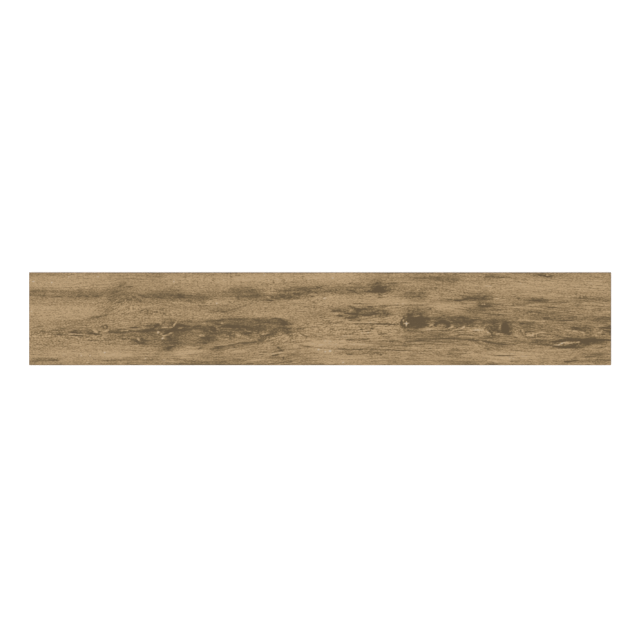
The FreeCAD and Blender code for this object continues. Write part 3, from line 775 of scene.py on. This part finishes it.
def printed_face(tree, given):
    """The face: a close grid that sinks into the slab under the dark grain."""
    sizes = []
    bevels = add(tree, MATH, (given["Face arris"], 2.0), operation="MULTIPLY")
    for side, spacing in (("Length", "Cell along"), ("Width", "Cell across")):
        size = add(tree, MATH, (given[side], bevels), operation="SUBTRACT")
        count = add(tree, MATH, (size, given[spacing]), operation="DIVIDE")
        sizes.append((size, count))
    (size_x, count_x), (size_y, count_y) = sizes
    grid = add(tree, "GeometryNodeMeshGrid", (size_x, size_y, count_x, count_y))
    position = add(tree, HERE)
    flow, depth = figure(tree, position, given)
    for name, kind, value in ((FLOW, "FLOAT_VECTOR", flow), (STAIN, "FLOAT", depth)):
        grid = add(tree, STORE, {"Geometry": grid, "Name": name, "Value": value}, data_type=kind)

    # Which way the squaring wheels ground each border, for the strips round the face
    at = add(tree, SEPARATE, (position,)).node.outputs
    borders = []
    for axis, size in (("X", size_x), ("Y", size_y)):
        half = add(tree, MATH, (size, 0.5), operation="MULTIPLY")
        borders.append(on_border(tree, at[axis], half))
    border = add(tree, COMBINE, borders)
    marked = {"Geometry": grid, "Name": BORDER, "Value": border}
    grid = add(tree, STORE, marked, data_type="FLOAT_VECTOR")

    kept = add(tree, ATTRIBUTE, {"Name": FLOW}, data_type="FLOAT_VECTOR")
    depth = add(tree, ATTRIBUTE, {"Name": STAIN}, data_type="FLOAT")
    grooves = streaks(tree, kept, long=40, high=3.5, layer=3, detail=1)
    cut = {"Value": grooves, "From Min": 0.45, "From Max": 0.75, "To Max": GROOVE_SINK}
    groove = add(tree, RANGE, cut)  # grooves lie where that noise is high
    sunk = add(tree, MATH, (depth, STAIN_SINK, groove), operation="MULTIPLY_ADD", use_clamp=True)
    drop = add(tree, MATH, (sunk, given["Relief"]), operation="MULTIPLY")
    height = add(tree, MATH, (given["Thickness"], drop), operation="SUBTRACT")
    outward = add(tree, VECTOR, {0: border, "Scale": drop}, operation="SCALE")
    level = add(tree, COMBINE, {"Z": height})
    offset = add(tree, VECTOR, (outward, level), operation="ADD")
    return add(tree, MOVE, {"Geometry": grid, "Offset": offset})


def ground_strip(tree, mesh, edges, given, inset, height):
    """A strip of bare porcelain from the slab's last edges to a line at this inset and height."""
    doubled = {"Mesh": mesh, "Selection": edges, "Offset Scale": 0.0}
    strip = add(tree, EXTRUDE, doubled, mode="EDGES").node.outputs
    border = add(tree, ATTRIBUTE, {"Name": BORDER}, data_type="FLOAT_VECTOR")
    sign = add(tree, SEPARATE, (border,)).node.outputs
    at = add(tree, SEPARATE, (add(tree, HERE),)).node.outputs
    places = []
    for axis, side in (("X", "Length"), ("Y", "Width")):
        half = add(tree, MATH, (given[side], 0.5), operation="MULTIPLY")
        reach = add(tree, MATH, (half, inset), operation="SUBTRACT")
        line = add(tree, MATH, (sign[axis], reach), operation="MULTIPLY")
        share = add(tree, MATH, (sign[axis],), operation="ABSOLUTE")
        places.append(add(tree, MIX, {"Factor": share, "A": at[axis], "B": line}))
    place = add(tree, COMBINE, (*places, height))
    top = {"Geometry": strip["Mesh"], "Selection": strip["Top"], "Position": place}
    moved = add(tree, MOVE, top)
    skin = {"Geometry": moved, "Selection": strip["Side"], "Name": SKIN, "Value": GROUND}
    return add(tree, STORE, skin, data_type="INT", domain="FACE"), strip["Top"]


def open_edges(tree):
    """Whether an edge has a face on one side only."""
    faces = add(tree, "GeometryNodeInputMeshEdgeNeighbors")
    return add(tree, COMPARE, {FIRST: faces, SECOND: 1}, data_type="INT", operation="EQUAL")


def recess_lines(tree, size, given):
    """How many recesses fit between the ledges in one direction, their pitch and their mouth.

    A rib lies on the tile's centre line, so their number is even.
    """
    ledges = add(tree, MATH, (given["Ledge"], 2.0), operation="MULTIPLY")
    space = add(tree, MATH, (size, ledges), operation="SUBTRACT")
    padded = add(tree, MATH, (space, given["Rib"]), operation="ADD")
    pair = add(tree, MATH, (given["Recess"], given["Rib"]), operation="ADD")
    doubled = add(tree, MATH, (pair, 2.0), operation="MULTIPLY")
    pairs = add(tree, MATH, (padded, doubled), operation="DIVIDE")
    whole = add(tree, MATH, (pairs,), operation="ROUND")
    count = add(tree, MATH, (whole, 2.0), operation="MULTIPLY")
    pitch = add(tree, MATH, (padded, count), operation="DIVIDE")
    mouth = add(tree, MATH, (pitch, given["Rib"]), operation="SUBTRACT")
    return count, pitch, mouth, space


def keyed_back(tree, given):
    """The field of recesses: a grid of mouths and ribs, whose mouths are pressed in."""
    lines = [recess_lines(tree, given[side], given) for side in ("Length", "Width")]
    cells, points = [], []
    for count, _, _, _ in lines:
        points.append(add(tree, MATH, (count, 2.0), operation="MULTIPLY"))
        cells.append(add(tree, MATH, (points[-1], 1.0), operation="SUBTRACT"))
    grid = add(tree, "GeometryNodeMeshGrid", (*cells, *points))

    # On this even grid a cell is 1 m wide. Even columns and rows cross in a recess's mouth.
    at = add(tree, SEPARATE, (add(tree, HERE),)).node.outputs
    steps, evens = [], []
    for axis, cell in zip("XY", cells):
        half = add(tree, MATH, (cell, 0.5), operation="MULTIPLY")
        steps.append(add(tree, MATH, (at[axis], half), operation="ADD"))
        below = add(tree, MATH, (steps[-1],), operation="FLOOR")
        odd = add(tree, MATH, (below, 2.0), operation="MODULO")
        evens.append(add(tree, MATH, (odd, 0.5), operation="LESS_THAN"))
    mouth = add(tree, MATH, evens, operation="MULTIPLY")
    marked = {"Geometry": grid, "Name": MOUTH, "Value": mouth}
    grid = add(tree, STORE, marked, data_type="BOOLEAN", domain="FACE")
    places = []
    for step, (_, pitch, width, space) in zip(steps, lines):
        near = add(tree, MATH, (step, 0.25), operation="ADD")  # so that no step is rounded down
        halved = add(tree, MATH, (near, 0.5), operation="MULTIPLY")
        whole = add(tree, MATH, (halved,), operation="FLOOR")
        start = add(tree, MATH, (whole, pitch), operation="MULTIPLY")
        left = add(tree, MATH, (near, 2.0), operation="MODULO")
        far = add(tree, MATH, (left, 1.0), operation="GREATER_THAN")
        reach = add(tree, MATH, (far, width, start), operation="MULTIPLY_ADD")
        places.append(add(tree, MATH, (space, -0.5, reach), operation="MULTIPLY_ADD"))
    spread = add(tree, MOVE, {"Geometry": grid, "Position": add(tree, COMBINE, places)})
    facing = add(tree, "GeometryNodeFlipFaces", (spread,))

    chosen = add(tree, ATTRIBUTE, {"Name": MOUTH}, data_type="BOOLEAN")
    inward = add(tree, COMBINE, {"Z": given["Recess depth"]})
    pushed = {"Mesh": facing, "Selection": chosen, "Offset": inward}
    pressed = add(tree, EXTRUDE, pushed, mode="FACES").node.outputs
    slope = add(tree, MATH, (given["Recess draft"],), operation="TANGENT")
    lean = add(tree, MATH, (slope, given["Recess depth"]), operation="MULTIPLY")
    both = add(tree, MATH, (lean, 2.0), operation="MULTIPLY")
    lost = add(tree, MATH, (both, lines[0][2]), operation="DIVIDE")
    floor = add(tree, MATH, (1.0, lost), operation="SUBTRACT")
    narrowed = {"Geometry": pressed["Mesh"], "Selection": pressed["Top"], "Scale": floor}
    return add(tree, "GeometryNodeScaleElements", narrowed)


def plank_tree():
    """The Geometry Nodes tree that makes the whole slab as one closed skin."""
    inputs = {label(name): "Float" for name in PlankSizes.__annotations__}
    inputs |= {name: "Material" for name in SKINS.values()}
    tree, given, result = new_group("pressed_plank", inputs, {"Geometry": "Geometry"})
    slab = printed_face(tree, given)
    edges = open_edges(tree)
    shoulder = add(tree, MATH, (given["Thickness"], given["Face arris"]), operation="SUBTRACT")
    bevel = given["Back arris"]
    for inset, height in ((0.0, shoulder), (0.0, bevel), (bevel, 0.0)):
        slab, edges = ground_strip(tree, slab, edges, given, inset, height)

    back = keyed_back(tree, given)
    rims = ((slab, edges), (back, open_edges(tree)))
    rings = [add(tree, "GeometryNodeMeshToCurve", rim) for rim in rims]
    both = add(tree, JOIN, {"Geometry": rings})
    ledge = add(tree, "GeometryNodeFillCurve", {"Curve": both}, mode="TRIANGLES")
    ledge = add(tree, "GeometryNodeFlipFaces", (ledge,))
    underside = add(tree, JOIN, {"Geometry": [back, ledge]})
    skin = {"Geometry": underside, "Name": SKIN, "Value": BISCUIT}
    underside = add(tree, STORE, skin, data_type="INT", domain="FACE")
    whole = add(tree, JOIN, {"Geometry": [slab, underside]})
    closed = add(tree, "GeometryNodeMergeByDistance", {"Geometry": whole, "Distance": WELD})
    skin = add(tree, ATTRIBUTE, {"Name": SKIN}, data_type="INT")
    asked = {FIRST: skin, SECOND: PRINTED}
    printed = add(tree, COMPARE, asked, data_type="INT", operation="EQUAL")
    shaded = {"Geometry": closed, "Shade Smooth": printed}
    smooth = add(tree, "GeometryNodeSetShadeSmooth", shaded)
    made = add(tree, "GeometryNodeRealizeInstances", (smooth,))
    for value, name in SKINS.items():
        asked = {FIRST: skin, SECOND: value}
        chosen = add(tree, COMPARE, asked, data_type="INT", operation="EQUAL")
        dressed = {"Geometry": made, "Selection": chosen, "Material": given[name]}
        made = add(tree, "GeometryNodeSetMaterial", dressed)
    tree.links.new(made, result)
    return tree


def press(tree, values):
    """The plain mesh that the tree makes from these input values."""
    blank = bpy.data.objects.new("blank", bpy.data.meshes.new("blank"))
    bpy.context.scene.collection.objects.link(blank)
    modifier = blank.modifiers.new("pressed_plank", "NODES")
    modifier.node_group = tree
    for socket in tree.interface.items_tree:
        if socket.in_out == "INPUT":
            modifier[socket.identifier] = values[socket.name]
    depsgraph = bpy.context.evaluated_depsgraph_get()
    mesh = bpy.data.meshes.new_from_object(blank.evaluated_get(depsgraph))
    blank.modifiers.remove(modifier)
    bpy.data.objects.remove(blank)
    return mesh


def read(items, name, width=1, kind=float):
    """One property of all of a mesh's corners, points or faces, as an array."""
    values = np.empty(len(items) * width, kind)
    items.foreach_get(name, values)
    return values.reshape(-1, width) if width > 1 else values


def lay_out_map(mesh, sizes):
    """The plank's own UV map: its face in two strips, then its back, its sides and its ends.

    The face gets most of the map, because the print is the finest thing on the tile, and more of
    it across the grain than along it.
    """
    place = read(mesh.vertices, "co", 3)[read(mesh.loops, "vertex_index", kind=int)]
    count = read(mesh.polygons, "loop_total", kind=int)
    normal = read(mesh.polygons, "normal", 3)
    x, y, _ = read(mesh.polygons, "center", 3).T
    skin = read(mesh.attributes[SKIN].data, "value", kind=int)
    at_end = np.abs(normal[:, 0]) > np.abs(normal[:, 1])
    end = (skin == GROUND) & at_end
    side = (skin == GROUND) & ~at_end

    # Each direction is an axis, where its strip starts and how far it reaches, in metres
    along = (0, -sizes.length / 2, sizes.length)
    left = (0, -sizes.length / 2, sizes.length / 2)
    right = (0, 0.0, sizes.length / 2)
    across = (1, -sizes.width / 2, sizes.width)
    short = (1, -sizes.width / 2, END_REACH * sizes.width)
    up = (2, 0.0, sizes.thickness)
    strips = (  # its faces, what runs along it and up it, and its share of the map's height
        ((skin == PRINTED) & (x < 0), left, across, FACE_SHARE),
        ((skin == PRINTED) & (x >= 0), right, across, FACE_SHARE),
        (skin == BISCUIT, along, across, BACK_SHARE),
        (side & (y > 0), along, up, SIDE_SHARE),
        (side & (y < 0), along, up, SIDE_SHARE),
        (end & (x > 0), short, up, SIDE_SHARE),
        (end & (x < 0), short, up, SIDE_SHARE),
    )
    uv = np.zeros((len(mesh.loops), 2))
    bottom = MAP_GAP
    for faces, (axis, start, reach), (up_axis, low, high), height in strips:
        corners = np.repeat(faces, count)
        uv[corners, 0] = MAP_GAP + (1 - 2 * MAP_GAP) * (place[corners, axis] - start) / reach
        uv[corners, 1] = bottom + height * (place[corners, up_axis] - low) / high
        bottom += height + MAP_GAP
    layer = mesh.uv_layers.new(name="OFBake")
    layer.data.foreach_set("uv", uv.astype(np.float32).ravel())


def new_material(name):
    """A material that has nodes, and its tree."""
    material = bpy.data.materials.new(name)
    material.use_nodes = True
    return material, material.node_tree


def place_in_mm(tree):
    """Where a point of the plank lies, in mm."""
    spot = add(tree, "ShaderNodeTexCoord", out="Object")
    return add(tree, VECTOR, {0: spot, "Scale": 1 / MM}, operation="SCALE")


def tint(colour, share=1.0):
    """A colour for a node, darkened or lightened to this share of it."""
    return (*(share * part for part in colour), 1.0)


def surface(tree, colour, roughness, height, strength, depth):
    """Gives the shader its colour, its roughness and a bump this deep in metres, and returns it."""
    shader = tree.nodes["Principled BSDF"]
    bump = add(tree, "ShaderNodeBump", {"Height": height, "Strength": strength, "Distance": depth})
    for output, name in ((colour, "Base Color"), (roughness, "Roughness"), (bump, "Normal")):
        tree.links.new(output, shader.inputs[name])
    return shader


def printed_glaze(colours):
    """Matt glaze over a digital print: an even, dry sheen over crisp browns."""
    material, tree = new_material("printed_matt_glaze")
    flow = add(tree, "ShaderNodeAttribute", out="Vector", attribute_name=FLOW)
    stain = add(tree, "ShaderNodeAttribute", out="Fac", attribute_name=STAIN)

    parts = add(tree, SEPARATE, (flow,)).node.outputs
    calmed = add(tree, MATH, (parts["Z"], -CALMING, parts["X"]), operation="MULTIPLY_ADD")
    grain = 0.0
    for long, high, apart, layer, lively, calm in FIBRES:
        fibre = streaks(tree, flow, long, high, layer, detail=1.0, apart=apart)
        change = {"From Min": LIVELY, "From Max": CALM, "To Min": lively, "To Max": calm}
        strength = add(tree, RANGE, {"Value": calmed, **change})
        centred = add(tree, MATH, (fibre, 0.5), operation="SUBTRACT")
        grain = add(tree, MATH, (centred, strength, grain), operation="MULTIPLY_ADD")

    # The growth rings' own lines lie where a slow noise passes its middle
    rings = streaks(tree, flow, long=240, high=8, layer=12, apart=14)
    offset = add(tree, MATH, (rings, 0.5), operation="SUBTRACT")
    distance = add(tree, MATH, (offset,), operation="ABSOLUTE")
    fade = {"From Min": RING_LINE, "From Max": 0.0, "To Max": RING_DEPTH}
    line = add(tree, RANGE, {"Value": distance, **fade})
    grain = add(tree, MATH, (grain, line), operation="SUBTRACT")
    change = {"From Min": PALE_STAIN, "From Max": DARK_STAIN}
    change |= {"To Min": PALE_CONTRAST, "To Max": DARK_CONTRAST}
    contrast = add(tree, RANGE, {"Value": stain, **change})
    grain = add(tree, MATH, (grain, contrast), operation="MULTIPLY")
    ground = add(tree, MATH, (stain, STAIN_TONE, GROUND_TONE), operation="MULTIPLY_ADD")
    tone = add(tree, MATH, (ground, grain), operation="ADD")
    share = add(tree, RANGE, {"Value": tone, "From Max": CHALK_TONE})

    ramp = add(tree, "ShaderNodeValToRGB", (share,)).node
    stops = ramp.color_ramp.elements
    while len(stops) < len(INKS):
        stops.new(0.5)
    for stop, (where, name) in zip(stops, INKS):
        stop.position = where
        stop.color = tint(getattr(colours, name))

    rough = add(tree, RANGE, {"Value": tone, "To Min": 0.60, "To Max": 0.74})
    shader = surface(tree, ramp.outputs["Color"], rough, grain, strength=0.5, depth=0.06 * MM)
    shader.inputs["IOR"].default_value = 1.5
    shader.inputs["Specular IOR Level"].default_value = 0.2
    return material


def ground_porcelain(colours):
    """Fired porcelain body that diamond wheels have ground: dense, fine scratches, almost dull."""
    material, tree = new_material("ground_porcelain_body")
    place = place_in_mm(tree)

    # Clay specks are 0.7 mm apart and clouds of them 20 mm. Scratches are drawn 0.5 mm wide, which
    # is coarser than they are.
    specks = add(tree, NOISE, {"Vector": place, "Scale": 1.4, "Detail": 3.0})
    clouds = add(tree, NOISE, {"Vector": place, "Scale": 0.05, "Detail": 2.0})
    shade = add(tree, MATH, (specks, clouds), operation="ADD")
    share = add(tree, RANGE, {"Value": shade, "From Min": 0.75, "From Max": 1.25})
    mixed = {"Factor": share, "A": tint(colours.body, 0.8), "B": tint(colours.body, 1.15)}
    colour = add(tree, MIX, mixed, out="Result", data_type="RGBA")
    scratches = streaks(tree, place, long=25, high=0.5, layer=9)
    rough = add(tree, RANGE, {"Value": scratches, "To Min": 0.45, "To Max": 0.75})
    surface(tree, colour, rough, scratches, strength=0.4, depth=0.02 * MM)
    return material


def washed_biscuit(colours):
    """Unglazed biscuit that lay on kiln rollers: chalky, with a dust of kiln wash on its ribs."""
    material, tree = new_material("unglazed_biscuit")
    place = place_in_mm(tree)
    height = add(tree, SEPARATE, (place,), out="Z")

    # The wash lies in patches about 30 mm wide, and reaches 0.35 mm into a recess. Pores are drawn
    # 1.1 mm apart, coarser than they are.
    patches = add(tree, NOISE, {"Vector": place, "Scale": 0.03, "Detail": 3.0})
    pores = add(tree, NOISE, {"Vector": place, "Scale": 0.9, "Detail": 3.0})
    crown = add(tree, RANGE, {"Value": height, "From Min": 0.35, "From Max": 0.0})
    dust = add(tree, RANGE, {"Value": patches, "From Min": 0.35, "From Max": 0.65, "To Min": 0.25})
    wash = add(tree, MATH, (crown, dust), operation="MULTIPLY")
    grain = add(tree, RANGE, {"Value": pores, "From Min": 0.3, "From Max": 0.6, "To Min": 0.6})
    share = add(tree, MATH, (wash, grain), operation="MULTIPLY")
    mixed = {"Factor": pores, "A": tint(colours.biscuit, 0.82), "B": tint(colours.biscuit, 1.12)}
    body = add(tree, MIX, mixed, out="Result", data_type="RGBA")
    mixed = {"Factor": share, "A": body, "B": tint(colours.kiln_wash)}
    colour = add(tree, MIX, mixed, out="Result", data_type="RGBA")
    rough = add(tree, RANGE, {"Value": share, "To Min": 0.78, "To Max": 0.92})
    surface(tree, colour, rough, pores, strength=0.6, depth=0.08 * MM)
    return material


def floor_paint():
    """Pale matt floor. Seen by the camera or in a gloss it is white, and it keeps the shadow."""
    material, tree = new_material("pale_floor_paint")
    tree.nodes.remove(tree.nodes["Principled BSDF"])
    paint = add(tree, "ShaderNodeBsdfDiffuse", {"Color": FLOOR_COLOUR})
    rays = add(tree, "ShaderNodeLightPath").node.outputs
    seen = add(tree, MATH, (rays["Is Camera Ray"], rays["Is Glossy Ray"]), operation="MAXIMUM")
    seen = add(tree, MATH, (seen, rays["Is Transmission Ray"]), operation="MAXIMUM")
    lift = add(tree, MATH, (seen, FLOOR_LIFT), operation="MULTIPLY")
    glow = add(tree, "ShaderNodeEmission", {"Strength": lift})
    both = add(tree, "ShaderNodeAddShader", (paint, glow))
    tree.links.new(both, tree.nodes["Material Output"].inputs["Surface"])
    return material


class PLANK_OT_press(bpy.types.Operator):
    """Presses, prints and grinds the plank"""

    bl_idname = "plank_tile.press"
    bl_label = "Make the plank"

    def execute(self, context):
        sizes, colours = context.scene.plank_sizes, context.scene.plank_colours
        values = {label(name): getattr(sizes, name) for name in PlankSizes.__annotations__}
        values[SKINS[PRINTED]] = printed_glaze(colours)
        values[SKINS[GROUND]] = ground_porcelain(colours)
        values[SKINS[BISCUIT]] = washed_biscuit(colours)
        mesh = press(plank_tree(), values)
        mesh.name = "fired_plank"
        lay_out_map(mesh, sizes)
        plank = bpy.data.objects.new("fired_plank", mesh)
        context.scene.collection.objects.link(plank)
        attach(plank, "root")
        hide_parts("plank_tile")
        return {"FINISHED"}


class PLANK_OT_stage(bpy.types.Operator):
    """Sets the floor, the light and the camera"""

    bl_idname = "plank_tile.stage"
    bl_label = "Make the stage"

    def execute(self, context):
        scene = context.scene
        mesh = bpy.data.meshes.new("floor")
        sides = ((-1, -1), (1, -1), (1, 1), (-1, 1))
        corners = [(x * FLOOR_REACH, y * FLOOR_REACH, 0) for x, y in sides]
        mesh.from_pydata(corners, [], [(0, 1, 2, 3)])
        mesh.materials.append(floor_paint())
        floor = bpy.data.objects.new("floor", mesh)
        scene.collection.objects.link(floor)

        world = bpy.data.worlds.new("soft_room")
        world.use_nodes = True
        light = world.node_tree.nodes["Background"].inputs
        light["Color"].default_value = WHITE
        light["Strength"].default_value = ROOM_LIGHT
        scene.world = world

        lamp = bpy.data.lights.new("soft_box", "SUN")
        lamp.energy = BOX_LIGHT
        lamp.angle = BOX_WIDTH
        box = bpy.data.objects.new("soft_box", lamp)
        box.rotation_euler = (*BOX_LEAN, 0)
        scene.collection.objects.link(box)

        lens = bpy.data.cameras.new("camera")
        lens.lens, lens.sensor_width = LENS, SENSOR
        camera = bpy.data.objects.new("camera", lens)
        pixel = SLAB.x / FACE_ACROSS
        distance = pixel * PHOTO_SIDE * LENS / SENSOR
        lens.clip_end = 4 * distance  # well past the floor
        middle = (SLAB_LOW + SLAB_HIGH) / 2
        across, down = FACE_CENTRE
        aside = Vector((PHOTO_SIDE / 2 - across, down - PHOTO_SIDE / 2, 0)) * pixel
        camera.location = (middle.x + aside.x, middle.y + aside.y, SLAB_HIGH.z + distance)
        scene.collection.objects.link(camera)
        scene.camera = camera
        scene.view_settings.view_transform = "Standard"
        return {"FINISHED"}


class PLANK_PT_panel(bpy.types.Panel):
    """Lists the plank's operators and sizes in the 3D view's sidebar"""

    bl_idname = "PLANK_PT_panel"
    bl_label = "Plank tile"
    bl_space_type = "VIEW_3D"
    bl_region_type = "UI"
    bl_category = "Plank Tile"

    def draw(self, context):
        for operator in (PLANK_OT_stage, PLANK_OT_press):
            self.layout.operator(operator.bl_idname)
        for group in (context.scene.plank_sizes, context.scene.plank_colours):
            for name in group.__annotations__:
                self.layout.prop(group, name)


CLASSES = (PlankSizes, PlankColours, PLANK_OT_press, PLANK_OT_stage, PLANK_PT_panel)


def register():
    """Adds the panel, the operators and the settings to Blender."""
    for cls in CLASSES:
        bpy.utils.register_class(cls)
    bpy.types.Scene.plank_sizes = PointerProperty(type=PlankSizes)
    bpy.types.Scene.plank_colours = PointerProperty(type=PlankColours)


def unregister():
    """Takes them away again."""
    del bpy.types.Scene.plank_colours
    del bpy.types.Scene.plank_sizes
    for cls in reversed(CLASSES):
        bpy.utils.unregister_class(cls)


def main():
    """Builds the plank and its stage."""
    register()
    bpy.ops.plank_tile.stage()
    bpy.ops.plank_tile.press()


if __name__ == "__main__":
    main()
